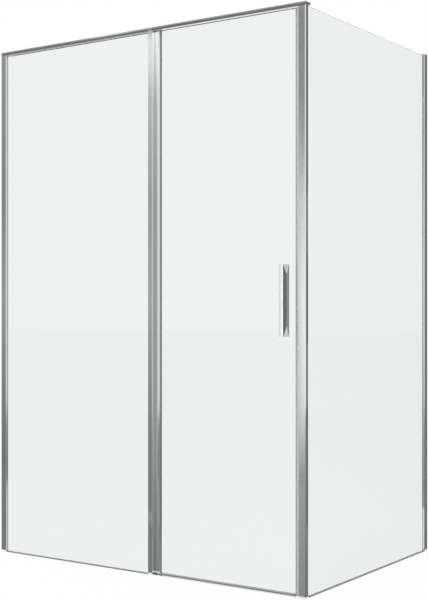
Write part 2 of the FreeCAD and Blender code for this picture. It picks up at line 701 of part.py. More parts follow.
# Side pane.
pane_block(
    "side_glass",
    (SIDE_IN, "%s + edge_room" % SLOT_END, "pane_low"),
    (
        "glass_thick",
        "side_depth - frame_face + bite - edge_room - (%s + edge_room)" % SLOT_END,
        "full_height - side_lower - pane_low",
    ),
)
BACK_EDGE = "side_depth - frame_face"
for label, u, v, wide, high in (
    ("gasket_post_outer", SIDE_OUT, "%s + edge_room" % SLOT_END, "post_slot + gasket_bead", HEAD_LOW),
    ("gasket_post_inner", LUG_RIGHT, "%s + edge_room" % SLOT_END, "post_slot + gasket_bead", HEAD_LOW),
    ("gasket_side_outer", SIDE_OUT, "%s - side_bead" % BACK_EDGE, "bite + side_bead", SIDE_FRAME_TOP),
    (
        "gasket_side_inner", LUG_RIGHT, "%s + lip_short - gasket_bead" % BACK_EDGE,
        "bite - lip_short + gasket_bead", SIDE_FRAME_TOP,
    ),
):
    bar(label, (u, v, "0"), ("gasket_thick", "%s - edge_room" % wide, high))


def sill(low, top, low_wall, top_wall):
    """U-shaped bottom channel around a pane: the pane's two faces and the cheek beside each."""
    return [
        ("%s - %s" % (low, low_wall), "0"),
        ("%s + %s" % (top, top_wall), "0"),
        ("%s + %s" % (top, top_wall), "sill_high"),
        (top, "sill_high"),
        (top, "pane_low"),
        (low, "pane_low"),
        (low, "sill_high"),
        ("%s - %s" % (low, low_wall), "sill_high"),
    ]


extrude(
    "fixed_sill", [sill("recess", "(recess + glass_thick)", "sill_front", "sill_wall")],
    "stile_left - gasket_bead - (frame_face + wall_bead)", "YZ_Plane", u="frame_face + wall_bead",
)
extrude(
    "side_sill", [sill(SIDE_IN, SIDE_OUT, "sill_wall", "sill_front")],
    "%s - side_bead - post_reach" % BACK_EDGE, "XZ_Plane", v="post_reach",
)

# Threshold under the door, and the guide that keeps the door's foot in line.
loop = [
    ("tread_front", "0"),
    ("header_back", "0"),
    ("header_back", "bar_high"),
    ("header_back - skin", "bar_high"),
    ("header_back - skin", "tread_high"),
    ("tread_front + tread_slope", "tread_high"),
    ("tread_front", "tread_edge"),
]
extrude("threshold_rail", [loop], "%s - %s" % (POST_LEFT, STILE_RIGHT), "YZ_Plane", u=STILE_RIGHT)
FINGER = "(%s + guide_play)" % DOOR_REAR
loop = [
    (STILE_DEPTH, "0"),
    ("%s + guide_finger" % FINGER, "0"),
    ("%s + guide_finger" % FINGER, "guide_high"),
    (FINGER, "guide_high"),
    (FINGER, "guide_base"),
    (STILE_DEPTH, "guide_base"),
]
extrude("floor_guide", [loop], "guide_long", "YZ_Plane", u="%s - guide_long - slide_gap" % STILE_RIGHT)

# Door: trailing upright, pane, gaskets, bottom seal and magnet seal.
outer = [
    ("door_left", DOOR_FRONT),
    ("door_left + groove_from", DOOR_FRONT),
    ("door_left + groove_from + groove_wide/2", "%s + groove_deep" % DOOR_FRONT),
    ("door_left + groove_from + groove_wide", DOOR_FRONT),
    (DOOR_RIGHT, DOOR_FRONT),
    (DOOR_RIGHT, "%s + door_leaf" % DOOR_FRONT),
    ("%s - bite" % DOOR_RIGHT, "%s + door_leaf" % DOOR_FRONT),
    ("%s - bite" % DOOR_RIGHT, "%s - skin" % DOOR_REAR),
    (DOOR_RIGHT, "%s - skin" % DOOR_REAR),
    (DOOR_RIGHT, DOOR_REAR),
    ("door_left", DOOR_REAR),
]
inner = [
    ("door_left + chamber_inset", "%s + skin" % DOOR_FRONT),
    ("%s - bite - skin" % DOOR_RIGHT, "%s + skin" % DOOR_FRONT),
    ("%s - bite - skin" % DOOR_RIGHT, "%s - skin" % DOOR_REAR),
    ("door_left + chamber_inset", "%s - skin" % DOOR_REAR),
]
DOOR_HIGH = "(%s - door_play - door_foot)" % HEAD_LOW
body = extrude("door_stile", [outer, inner], DOOR_HIGH, z="door_foot")
corners = [("door_left", DOOR_FRONT), (DOOR_RIGHT, DOOR_FRONT)]
round_edges(body, "Round_door_stile", "z", corners, "door_round")
PANE_LEFT = "(%s - bite + edge_room)" % DOOR_RIGHT
pane = pane_block(
    "door_glass", (PANE_LEFT, DOOR_PANE, "door_foot"),
    ("door_edge - %s" % PANE_LEFT, "glass_thick", "%s + hang_rise - door_foot" % HEAD_LOW),
)
SCREW_LOW = "(handle_low + handle_screw_in)"
SCREW_STEP = "(handle_high - 2*handle_screw_in)"
hole = drill(
    pane, "Pane_hole", ("%s - %s" % (GRIP_MID, PANE_LEFT), "0 - skin", "%s - door_foot" % SCREW_LOW),
    "pane_hole", "glass_thick + 2*skin", ALONG_V,
)
repeat_up(pane, hole, SCREW_STEP, 2)
for label, v, bead in (
    ("gasket_door_outer", "%s - gasket_thick" % DOOR_PANE, "door_bead"),
    ("gasket_door_inner", INNER_BACK, "gasket_bead"),
):
    bar(
        label, (PANE_LEFT, v, "door_foot"),
        ("bite - edge_room + %s" % bead, "gasket_thick", DOOR_HIGH),
    )
loop = [
    ("%s - drip_wall" % DOOR_PANE, "drip_low"),
    ("%s + drip_wall" % INNER_BACK, "drip_low"),
    ("%s + drip_wall" % INNER_BACK, "drip_high"),
    (INNER_BACK, "drip_high"),
    (INNER_BACK, "door_foot"),
    (DOOR_PANE, "door_foot"),
    (DOOR_PANE, "drip_high"),
    ("%s - drip_wall" % DOOR_PANE, "drip_high"),
]
extrude(
    "door_bottom_seal", [loop], "door_edge - lip_reach - (%s + door_bead)" % DOOR_RIGHT,
    "YZ_Plane", u="%s + door_bead" % DOOR_RIGHT,
)
outer = [
    ("door_edge - lip_reach", "%s - gasket_thick" % DOOR_PANE),
    (NOSE_END, "%s - gasket_thick" % DOOR_PANE),
    (NOSE_END, "%s + gasket_thick" % INNER_BACK),
    ("door_edge - lip_reach", "%s + gasket_thick" % INNER_BACK),
    ("door_edge - lip_reach", INNER_BACK),
    ("door_edge", INNER_BACK),
    ("door_edge", DOOR_PANE),
    ("door_edge - lip_reach", DOOR_PANE),
]
MAGNET_LEFT = "(%s - edge_room - magnet_wide)" % NOSE_END
MAGNET_FRONT = "(%s - magnet_deep/2)" % DOOR_MID
inner = [
    (MAGNET_LEFT, MAGNET_FRONT),
    ("%s + magnet_wide" % MAGNET_LEFT, MAGNET_FRONT),
    ("%s + magnet_wide" % MAGNET_LEFT, "%s + magnet_deep" % MAGNET_FRONT),
    (MAGNET_LEFT, "%s + magnet_deep" % MAGNET_FRONT),
]
SEAL_HIGH = "(%s - door_play - drip_low)" % HEAD_LOW
extrude("door_edge_seal", [outer, inner], SEAL_HIGH, z="drip_low")
bar("door_edge_magnet", (MAGNET_LEFT, MAGNET_FRONT, "drip_low"), ("magnet_wide", "magnet_deep", SEAL_HIGH))

# Carriages clamped on the pane's top edge, each with an axle and a roller on either ledge.
CLIP_FRONT = "(%s - slot_half + carriage_play)" % DOOR_MID
CLIP_BACK = "(%s + slot_half - carriage_play)" % DOOR_MID
CLIP_LOW = "(%s + carriage_lift)" % HEAD_LOW
CLIP_TOP = "(%s + carriage_lift + carriage_high)" % HEAD_LOW
ROLLER_FRONT = "(%s - roller_side - roller_wide)" % CLIP_FRONT
ROLLER_BACK = "(%s + roller_side)" % CLIP_BACK
for side, middle in (("left", "carriage_left"), ("right", "carriage_right")):
    loop = [
        (CLIP_FRONT, CLIP_LOW),
        (DOOR_PANE, CLIP_LOW),
        (DOOR_PANE, PANE_HEAD),
        (INNER_BACK, PANE_HEAD),
        (INNER_BACK, CLIP_LOW),
        (CLIP_BACK, CLIP_LOW),
        (CLIP_BACK, CLIP_TOP),
        (CLIP_FRONT, CLIP_TOP),
    ]
    clip = extrude("carriage_" + side, [loop], "carriage_long", "YZ_Plane", u="%s - carriage_long/2" % middle)
    drill(
        clip, "Axle_hole_" + side, ("carriage_long/2", "%s - skin" % CLIP_FRONT, AXLE_HIGH),
        "axle_radius", "2*slot_half + 2*skin", ALONG_V,
    )
    named(
        rod(
            "Axle_" + side, (middle, ROLLER_FRONT, AXLE_HIGH),
            "axle_radius", "%s + roller_wide - %s" % (ROLLER_BACK, ROLLER_FRONT), ALONG_V,
        ),
        "axle_" + side,
    )
    for end, v in (("front", ROLLER_FRONT), ("back", ROLLER_BACK)):
        tag = "%s_%s" % (side, end)
        tyre = rod("Tyre_" + tag, (middle, v, AXLE_HIGH), "roller_radius", "roller_wide", ALONG_V)
        bore = rod("Bore_" + tag, (middle, v, AXLE_HIGH), "axle_radius + roller_play", "roller_wide", ALONG_V)
        named(joined("Cut", "Roller_" + tag, [tyre, bore]), "roller_" + tag)
for label, u in (
    ("stop_buffer_open", "carriage_left - carriage_long/2 - travel - buffer_gap - buffer_long"),
    ("stop_buffer_closed", "carriage_right + carriage_long/2 + buffer_gap"),
):
    bar(
        label, (u, CHAMBER_FRONT, "%s + slide_gap" % PANE_HEAD),
        (
            "buffer_long",
            "%s - %s" % (CHAMBER_BACK, CHAMBER_FRONT),
            "%s - %s - slide_gap" % (HEAD_ROOF, PANE_HEAD),
        ),
    )

# Outer handle: a block whose flanks rise to a ridge and slope down at both ends.
HANDLE_DEEP = "(handle_out + %s)" % HANDLE_BACK
core = doc.addObject("Part::Box", "Handle_core")
core.setExpression("Length", bound("handle_face"))
core.setExpression("Width", bound(HANDLE_DEEP))
core.setExpression("Height", bound("handle_high"))
place(core, "handle_left", "0 - handle_out", "handle_low")
blocks = [core]
for side, u, v, turn in (
    ("right", "handle_left + handle_face", HANDLE_BACK, -90),
    ("left", "handle_left", "0 - handle_out", 90),
):
    hip = doc.addObject("Part::Wedge", "Handle_hip_" + side)
    for name, text in (
        ("Xmin", "0"), ("Xmax", HANDLE_DEEP),
        ("X2min", "%s/2" % HANDLE_DEEP), ("X2max", "%s/2" % HANDLE_DEEP),
        ("Zmin", "0"), ("Zmax", "handle_high"), ("Z2min", "hip_run"), ("Z2max", "handle_high - hip_run"),
        ("Ymin", "0"), ("Ymax", "hip_high"),
    ):
        hip.setExpression(name, bound(text))
    hip.Placement = FreeCAD.Placement(V(0, 0, 0), FreeCAD.Rotation(V(0, 0, 1), turn))
    place(hip, u, v, "handle_low")
    blocks.append(hip)
blocks = [joined("MultiFuse", "Handle_block", blocks)]
for k in range(2):
    centre = (GRIP_MID, HANDLE_BACK, "%s + %d*%s" % (SCREW_LOW, k, SCREW_STEP))
    thread = rod("Handle_thread_%d" % k, centre, "bolt_radius", "bolt_depth", AGAINST_V)
    blocks = [joined("Cut", "Handle_cut_%d" % k, [blocks[0], thread])]
named(blocks[0], "handle_outer")

# Inner pull, pads, bushes in the pane's holes and the two screws.
GRIP_BACK = "(%s + pad_thick + grip_deep)" % INNER_BACK
grip = doc.addObject("Part::Box", "Grip_block")
grip.setExpression("Length", bound("grip_wide"))
grip.setExpression("Width", bound("grip_deep"))
grip.setExpression("Height", bound("handle_high"))
place(grip, "grip_left", "%s + pad_thick" % INNER_BACK, "handle_low")
pads = {}
for name, v in (("pad_outer", HANDLE_BACK), ("pad_inner", INNER_BACK)):
    pad = doc.addObject("Part::Box", "Sheet_" + name)
    pad.setExpression("Length", bound("grip_wide"))
    pad.setExpression("Width", bound("pad_thick"))
    pad.setExpression("Height", bound("handle_high"))
    place(pad, "grip_left", v, "handle_low")
    pads[name] = pad
bolts = []
bushes = []
for k in range(2):
    high = "%s + %d*%s" % (SCREW_LOW, k, SCREW_STEP)
    through = rod(
        "Through_%d" % k, (GRIP_MID, "%s - skin" % HANDLE_BACK, high), "bolt_radius",
        "%s - %s + 2*skin" % (GRIP_BACK, HANDLE_BACK), ALONG_V,
    )
    seat = rod("Seat_%d" % k, (GRIP_MID, GRIP_BACK, high), "bolt_head", "bolt_head_high", AGAINST_V)
    for name in pads:
        pads[name] = joined("Cut", "%s_cut_%d" % (name, k), [pads[name], through])
    grip = joined("Cut", "Grip_cut_%d" % k, [grip, joined("MultiFuse", "Grip_tool_%d" % k, [through, seat])])
    shank = rod(
        "Bolt_shank_%d" % k, (GRIP_MID, GRIP_BACK, high), "bolt_radius",
        "%s - %s + bolt_depth" % (GRIP_BACK, HANDLE_BACK), AGAINST_V,
    )
    head = rod("Bolt_head_%d" % k, (GRIP_MID, GRIP_BACK, high), "bolt_head", "bolt_head_high", AGAINST_V)
    bolts.append(joined("MultiFuse", "Bolt_%d" % k, [shank, head]))
    ring = rod("Ring_%d" % k, (GRIP_MID, DOOR_PANE, high), "pane_hole", "glass_thick", ALONG_V)
    eye = rod("Eye_%d" % k, (GRIP_MID, DOOR_PANE, high), "bolt_radius", "glass_thick", ALONG_V)
    bushes.append(joined("Cut", "Bush_%d" % k, [ring, eye]))
named(grip, "handle_inner")
named(pads["pad_outer"], "handle_pad_outer")
named(pads["pad_inner"], "handle_pad_inner")
named(joined("Compound", "Group_handle_screws", bolts), "handle_screws")
named(joined("Compound", "Group_handle_bushes", bushes), "handle_bushes")

doc.recompute()
for item in doc.Objects:
    if "Invalid" in item.State or "Error" in item.State:
        raise RuntimeError("%s failed: %s" % (item.Name, item.State))
os.makedirs("parts", exist_ok=True)
for piece in PARTS:
    shape = piece.Shape
    if shape.isNull() or not shape.isValid():
        raise RuntimeError("%s has no valid shape" % piece.Label)
    shape.exportStep("parts/%s.step" % piece.Label)
print("pieces:", len(PARTS))
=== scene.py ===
import math

import bpy
from mathutils import Matrix, Vector


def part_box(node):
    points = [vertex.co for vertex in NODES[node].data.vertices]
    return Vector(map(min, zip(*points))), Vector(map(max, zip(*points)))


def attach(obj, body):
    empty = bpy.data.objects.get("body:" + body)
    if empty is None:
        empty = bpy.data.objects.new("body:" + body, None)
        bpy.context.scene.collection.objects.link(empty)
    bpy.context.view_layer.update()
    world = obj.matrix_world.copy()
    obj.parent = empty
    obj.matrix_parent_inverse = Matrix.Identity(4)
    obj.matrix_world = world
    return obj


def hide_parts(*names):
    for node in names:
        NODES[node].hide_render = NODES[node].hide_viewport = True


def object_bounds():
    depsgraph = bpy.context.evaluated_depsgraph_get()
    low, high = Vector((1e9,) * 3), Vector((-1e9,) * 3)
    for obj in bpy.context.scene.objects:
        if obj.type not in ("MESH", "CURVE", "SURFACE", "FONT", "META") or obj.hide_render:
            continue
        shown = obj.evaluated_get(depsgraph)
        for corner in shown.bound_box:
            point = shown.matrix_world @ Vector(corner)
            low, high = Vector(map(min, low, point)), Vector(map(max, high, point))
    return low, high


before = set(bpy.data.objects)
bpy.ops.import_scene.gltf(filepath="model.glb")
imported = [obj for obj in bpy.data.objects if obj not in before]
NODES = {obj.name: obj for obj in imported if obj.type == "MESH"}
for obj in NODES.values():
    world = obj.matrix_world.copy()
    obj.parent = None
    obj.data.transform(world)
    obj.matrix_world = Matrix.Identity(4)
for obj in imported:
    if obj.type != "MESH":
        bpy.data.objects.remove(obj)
CAD_LOW, CAD_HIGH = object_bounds()

bl_info = {
    "name": "Shower Enclosure",
    "version": (1, 0, 0),
    "blender": (4, 5, 0),
    "location": "View3D > Sidebar > Shower",
    "description": "Dresses a corner shower enclosure with a sliding door around its CAD frame",
    "category": "Object",
}

MM = 0.001

# Two places nearer than TOUCH are one. A face's normal passes FACING along the axis it looks
# along, and FLAT where the face has to be square to that axis.
TOUCH = 0.01 * MM
FACING = 0.9
FLAT = 0.99

# Angles between faces: where shading breaks, and where an edge is rounded.
SHADE_FLAT = math.radians(5)
SHADE_ROUND = math.radians(28)
SOFT_ANGLE = math.radians(30)
RIM_ANGLE = math.radians(50)
DOME_STEPS = 6

# The cross recess of the header screws, as shares of their heads' radius and height.
CROSS_LONG = 0.6
CROSS_WIDE = 0.15
CROSS_DEEP = 0.6
HEXAGON_DEEP = 1.2

# The part of the noise's range that a material's grain spreads over.
GRAIN_LOW = 0.3
GRAIN_HIGH = 0.7

# CAD nodes whose own shape stays, by finish.
UPRIGHTS = (
    "frame_profile_left", "frame_profile_right", "fixed_stile", "door_stile", "corner_post",
    "wall_profile_left", "wall_profile_right",
)
ALONG_FRONT = ("header_rail", "threshold_rail")
GREY_TRIM = ("frame_cap_right", "floor_guide")
CLEAR_TRIM = ("door_edge_seal", "post_magnet_strip", "handle_pad_outer", "handle_pad_inner")
# These strips are drawn in the paler PVC: painted light, so that their shaded faces come out bright.
PAINTED_LIGHT_TRIM = ("header_gasket", "header_infill")
STEEL = ("frame_screws_left", "frame_screws_right")
CARRIAGES = ("carriage_left", "carriage_right")

# Panes and strips that are modelled here, with the body each rides on.
PANES = (("fixed_glass", "frame"), ("side_glass", "frame"), ("door_glass", "door"))
DARK_STRIPS = (
    ("gasket_frame_left_outer", "frame"), ("gasket_stile_outer", "frame"), ("gasket_post_outer", "frame"),
    ("gasket_side_outer", "frame"), ("gasket_door_outer", "door"), ("stile_lip_seal", "frame"),
    ("stop_buffer_open", "frame"), ("stop_buffer_closed", "frame"),
)
WALL_BEADS = ("gasket_frame_left_outer", "gasket_side_outer")
# Beads drawn in another tone than their slot. The darker rubber on the two outer gaskets is painted shade;
# the milky PVC on the side pane's inner gasket is painted light that brightens it in its shaded slot.
BEAD_PAINTED_LIGHT_AND_SHADE = {
    "gasket_frame_left_outer": "rubber_painted_shade", "gasket_door_outer": "rubber_painted_shade",
    "gasket_side_inner": "pvc_painted_light",
}
BLACK_STRIPS = (("header_face_strip", "frame"),)
PALE_STRIPS = (
    ("gasket_frame_left_inner", "frame"), ("gasket_stile_inner", "frame"), ("gasket_post_inner", "frame"),
    ("gasket_side_inner", "frame"), ("gasket_door_inner", "door"),
)
STRIPS = ((DARK_STRIPS, "rubber_grey"), (BLACK_STRIPS, "rubber_black"), (PALE_STRIPS, "pvc_clear"))
ROLLERS = ("roller_left_front", "roller_left_back", "roller_right_front", "roller_right_back")
AXLES = ("axle_left", "axle_right")


# ---------------------------------------------------------------- materials


def base_material(name, **values):
    """A Principled material; every uniform value stands on the shader's own socket."""
    material = bpy.data.materials.new(name)
    material.use_nodes = True
    shader = material.node_tree.nodes["Principled BSDF"]
    for socket, value in values.items():
        shader.inputs[socket.replace("_", " ")].default_value = value
    return material, shader


def grain(material, shader, scale, detail, rough, tint, bump, stretch=(1, 1, 1)):
    """Fine grain from Object coordinates, in the roughness, the colour and the bump."""
    tree = material.node_tree
    place = tree.nodes.new("ShaderNodeTexCoord")
    mapping = tree.nodes.new("ShaderNodeMapping")
    mapping.inputs["Scale"].default_value = stretch
    noise = tree.nodes.new("ShaderNodeTexNoise")
    noise.inputs["Scale"].default_value = scale
    noise.inputs["Detail"].default_value = detail
    tree.links.new(place.outputs["Object"], mapping.inputs["Vector"])
    tree.links.new(mapping.outputs["Vector"], noise.inputs["Vector"])
    if rough:
        span = tree.nodes.new("ShaderNodeMapRange")
        span.inputs["From Min"].default_value = GRAIN_LOW
        span.inputs["From Max"].default_value = GRAIN_HIGH
        span.inputs["To Min"].default_value = rough[0]
        span.inputs["To Max"].default_value = rough[1]
        tree.links.new(noise.outputs["Fac"], span.inputs["Value"])
        tree.links.new(span.outputs["Result"], shader.inputs["Roughness"])
    if tint:
        ramp = tree.nodes.new("ShaderNodeValToRGB")
        ramp.color_ramp.elements[0].position = GRAIN_LOW
        ramp.color_ramp.elements[0].color = (*tint[0], 1)
        ramp.color_ramp.elements[1].position = GRAIN_HIGH
        ramp.color_ramp.elements[1].color = (*tint[1], 1)
        tree.links.new(noise.outputs["Fac"], ramp.inputs["Fac"])
        tree.links.new(ramp.outputs["Color"], shader.inputs["Base Color"])
    if bump:
        relief = tree.nodes.new("ShaderNodeBump")
        relief.inputs["Strength"].default_value = bump[0]
        relief.inputs["Distance"].default_value = bump[1]
        tree.links.new(noise.outputs["Fac"], relief.inputs["Height"])
        tree.links.new(relief.outputs["Normal"], shader.inputs["Normal"])


def toned(tone, share):
    """A colour made darker or paler by a share, with each part 1 at most."""
    return tuple(min(1.0, part * share) for part in tone)


MATERIALS = {}


def metal(name, colour, rough, stretch, scale, bump):
    """Bare metal with a faint grain."""
    tone = tuple(colour)
    material, shader = base_material(name, Metallic=1.0)
    grain(material, shader, scale, 3, rough, (toned(tone, 0.96), tone), bump, stretch)
    MATERIALS[name] = material


def metals(colours):
    """Sections with their drawing lines along them, plated parts, castings and screws."""
    drawn, drawn_relief = (0.07, 0.11), (0.02, 0.0002)
    metal("aluminium_upright", colours.aluminium, drawn, (6, 6, 0.05), 60, drawn_relief)
    metal("aluminium_along", colours.aluminium, drawn, (0.05, 6, 6), 60, drawn_relief)
    metal("chrome", colours.chrome, (0.03, 0.06), (1, 1, 1), 40, (0.01, 0.0001))
    metal("zinc_cast", (0.6, 0.61, 0.62), (0.35, 0.5), (1, 1, 1), 400, (0.2, 0.0002))
    metal("steel_satin", (0.68, 0.68, 0.68), (0.2, 0.32), (1, 1, 1), 300, (0.05, 0.0001))


def pane_glass(colours):
    """Clear panes with a faint tint, and their ground edges.

    Their indices lie under real glass, 1.5, so that they mirror as little as in the photograph.
    """
    tone = tuple(colours.glass)
    material, shader = base_material("glass_clear", IOR=1.1, Transmission_Weight=1.0, Metallic=0.0)
    grain(material, shader, 5, 2, (0.0, 0.01), (toned(tone, 0.997), tone), None, (1, 1, 0.4))
    MATERIALS["glass_clear"] = material

    material, shader = base_material("glass_edge", IOR=1.3, Transmission_Weight=0.75)
    ground = toned(tone, 1.1)
    grain(material, shader, 700, 2, (0.3, 0.45), (toned(ground, 0.97), ground), (0.1, 0.0001))
    MATERIALS["glass_edge"] = material


def seal_rubber(colours):
    """Grey rubber of the gaskets and seals."""
    grey = tuple(colours.seal)
    material, shader = base_material("rubber_grey", IOR=1.5)
    grain(material, shader, 900, 3, (0.42, 0.6), (toned(grey, 0.85), grey), (0.15, 0.0002))
    MATERIALS["rubber_grey"] = material


def clear_pvc():
    """Translucent strips beside the panes."""
    material, shader = base_material("pvc_clear", IOR=1.45, Transmission_Weight=0.55)
    pale = ((0.76, 0.78, 0.77), (0.84, 0.86, 0.85))
    grain(material, shader, 120, 2, (0.15, 0.28), pale, (0.05, 0.0002), (4, 4, 0.2))
    MATERIALS["pvc_clear"] = material


# Plain rubbers and plastics: refraction, grain, roughness, darker and paler tone, relief.
PLAIN_MATERIALS = (
    ("rubber_black", 1.5, 900, (0.42, 0.6), ((0.11, 0.11, 0.11), (0.135, 0.135, 0.135)), (0.15, 0.0002)),
    # A darker copy of the grey rubber, drawn on the bottom channels: painted shade.
    ("rubber_sill_painted_shade", 1.5, 900, (0.42, 0.6), ((0.17, 0.17, 0.17), (0.2, 0.2, 0.2)), (0.15, 0.0002)),
    # A darker copy of the grey gasket rubber, drawn on the outer gaskets: painted shade.
    ("rubber_painted_shade", 1.5, 900, (0.42, 0.6), ((0.2, 0.2, 0.2), (0.25, 0.25, 0.25)), (0.15, 0.0002)),
    # A paler, opaque copy of the clear PVC, drawn on strips that sit in shade: painted light.
    ("pvc_painted_light", 1.45, 120, (0.2, 0.3), ((0.9, 0.92, 0.91), (0.95, 0.96, 0.955)), (0.05, 0.0002)),
    ("magnet_dark", 1.5, 700, (0.6, 0.75), ((0.03, 0.03, 0.03), (0.06, 0.06, 0.06)), (0.2, 0.0002)),
    ("plastic_grey", 1.46, 1500, (0.35, 0.5), ((0.46, 0.47, 0.48), (0.53, 0.54, 0.55)), (0.1, 0.0001)),
    ("nylon_white", 1.5, 1200, (0.3, 0.45), ((0.74, 0.74, 0.71), (0.8, 0.8, 0.77)), (0.08, 0.0001)),
)


def make_materials():
    """Every material, by name."""
    colours = bpy.context.scene.shower_colours
    metals(colours)
    pane_glass(colours)
    seal_rubber(colours)
    clear_pvc()
    for name, index, scale, rough, tint, bump in PLAIN_MATERIALS:
        material, shader = base_material(name, IOR=index)
        grain(material, shader, scale, 2, rough, tint, bump)
        MATERIALS[name] = material


def dress(piece, name):
    """Gives a piece one material."""
    piece.data.materials.clear()
    piece.data.materials.append(MATERIALS[name])


# ---------------------------------------------------------------- modelling


def middle_of(low, high):
    return (low + high) / 2


def clear_selection():
    """Leaves edit mode with nothing selected."""
    if bpy.context.object and bpy.context.object.mode != "OBJECT":
        bpy.ops.object.mode_set(mode="OBJECT")
    bpy.ops.object.select_all(action="DESELECT")


def take(piece):
    """Makes one piece the only selected and active one."""
    clear_selection()
    piece.select_set(True)
    bpy.context.view_layer.objects.active = piece


def settled(name):
    """Names the new piece and moves its place into its mesh."""
    piece = bpy.context.object
    piece.name = name
    piece.data.name = name
    bpy.ops.object.transform_apply(location=True, rotation=True, scale=True)
    return piece


def block(name, low, high):
    """A block between two opposite corners."""
    low, high = Vector(low), Vector(high)
    clear_selection()
    bpy.ops.mesh.primitive_cube_add(size=1, location=middle_of(low, high), scale=high - low)
    return settled(name)


def rod(name, spot, radius, length, axis, corners=48):
    """A round bar about a spot, along X, Y or Z."""
    turn = {"X": (0, math.pi / 2, 0), "Y": (math.pi / 2, 0, 0), "Z": (0, 0, 0)}[axis]
    clear_selection()
    bpy.ops.mesh.primitive_cylinder_add(
        vertices=corners, radius=radius, depth=length, location=spot, rotation=turn,
    )
    return settled(name)


def pick(piece, kind, test):
    """Enters edit mode with only the faces, edges or points selected that pass a test."""
    take(piece)
    bpy.ops.object.mode_set(mode="EDIT")
    bpy.ops.mesh.select_mode(type=kind)
    bpy.ops.mesh.select_all(action="DESELECT")
    bpy.ops.object.mode_set(mode="OBJECT")
    mesh = piece.data
    for item in {"FACE": mesh.polygons, "EDGE": mesh.edges, "VERT": mesh.vertices}[kind]:
        item.select = bool(test(item))
    bpy.ops.object.mode_set(mode="EDIT")


def done():
    bpy.ops.object.mode_set(mode="OBJECT")


def push(offset):
    """Extrudes the selected faces by an offset."""
    bpy.ops.mesh.extrude_region_move(TRANSFORM_OT_translate={"value": offset, "orient_type": "GLOBAL"})


def section(name, axis, corners, start, end):
    """A straight length of a closed section along X or Y, from its corners in order."""
    clear_selection()
    bpy.ops.mesh.primitive_circle_add(vertices=len(corners), radius=0.01, fill_type="NGON")
    piece = settled(name)
    for point, (across, up) in zip(piece.data.vertices, corners):
        point.co = (start, across, up) if axis == "X" else (across, start, up)
    pick(piece, "FACE", lambda face: True)
    push((end - start, 0, 0) if axis == "X" else (0, end - start, 0))
    bpy.ops.mesh.select_all(action="SELECT")
    bpy.ops.mesh.normals_make_consistent(inside=False)
    done()
    return piece


def cut(piece, tool):
    """Takes a tool's shape out of a piece."""
    take(piece)
    hole = piece.modifiers.new("Cut", "BOOLEAN")
    hole.operation = "DIFFERENCE"
    hole.solver = "EXACT"
    hole.object = tool
    bpy.ops.object.modifier_apply(modifier=hole.name)
    bpy.data.objects.remove(tool, do_unlink=True)


def soften(piece, width, steps=3):
    """Rounds the sharp edges and keeps the flats flat."""
    take(piece)
    bpy.ops.object.shade_smooth_by_angle(angle=SHADE_FLAT)
    edge = piece.modifiers.new("Soft edges", "BEVEL")
    edge.width = width
    edge.segments = steps
    edge.limit_method = "ANGLE"
    edge.angle_limit = SOFT_ANGLE
    edge.harden_normals = True
    bpy.ops.object.modifier_apply(modifier=edge.name)


def round_bar(piece, width, steps=2):
    """Rounds the rims of a turned piece, whose sides stay smooth."""
    take(piece)
    edge = piece.modifiers.new("Rims", "BEVEL")
    edge.width = width
    edge.segments = steps
    edge.limit_method = "ANGLE"
    edge.angle_limit = RIM_ANGLE
    bpy.ops.object.modifier_apply(modifier=edge.name)
    bpy.ops.object.shade_smooth_by_angle(angle=SHADE_ROUND)


def copied(piece, name, offset):
    """A copy with its own mesh, set off from the first."""
    mesh = piece.data.copy()
    mesh.name = name
    mesh.transform(Matrix.Translation(offset))
    twin = bpy.data.objects.new(name, mesh)
    bpy.context.scene.collection.objects.link(twin)
    return twin


def joined(name, pieces):
    """Several pieces as one."""
    take(pieces[0])
    for piece in pieces[1:]:
        piece.select_set(True)
    bpy.ops.object.join()
    pieces[0].name = name
    pieces[0].data.name = name
    return pieces[0]


def fit(piece, material, body, slot, *nodes):
    """Dresses a finished piece and sets it in place of its CAD nodes."""
    dress(piece, material)
    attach(piece, body)
    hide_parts(*nodes)


# ---------------------------------------------------------------- settings


class ShowerColours(bpy.types.PropertyGroup):
    aluminium: bpy.props.FloatVectorProperty(
        name="Aluminium", description="Bright anodised sections", subtype="COLOR", size=3,
        default=(0.84, 0.845, 0.85), min=0, max=1,
    )
    chrome: bpy.props.FloatVectorProperty(
        name="Chrome", description="Handle and end cap", subtype="COLOR", size=3,
        default=(0.9, 0.905, 0.91), min=0, max=1,
    )
    glass: bpy.props.FloatVectorProperty(
        name="Glass", description="Tint of the panes", subtype="COLOR", size=3,
        default=(0.855, 0.888, 0.88), min=0, max=1,
    )
    seal: bpy.props.FloatVectorProperty(
        name="Seals", description="Grey gaskets and seals", subtype="COLOR", size=3,
        default=(0.55, 0.55, 0.55), min=0, max=1,
    )


def length(name, description, default):
    return bpy.props.FloatProperty(
        name=name, description=description, default=default, min=0, unit="LENGTH", subtype="DISTANCE",
    )


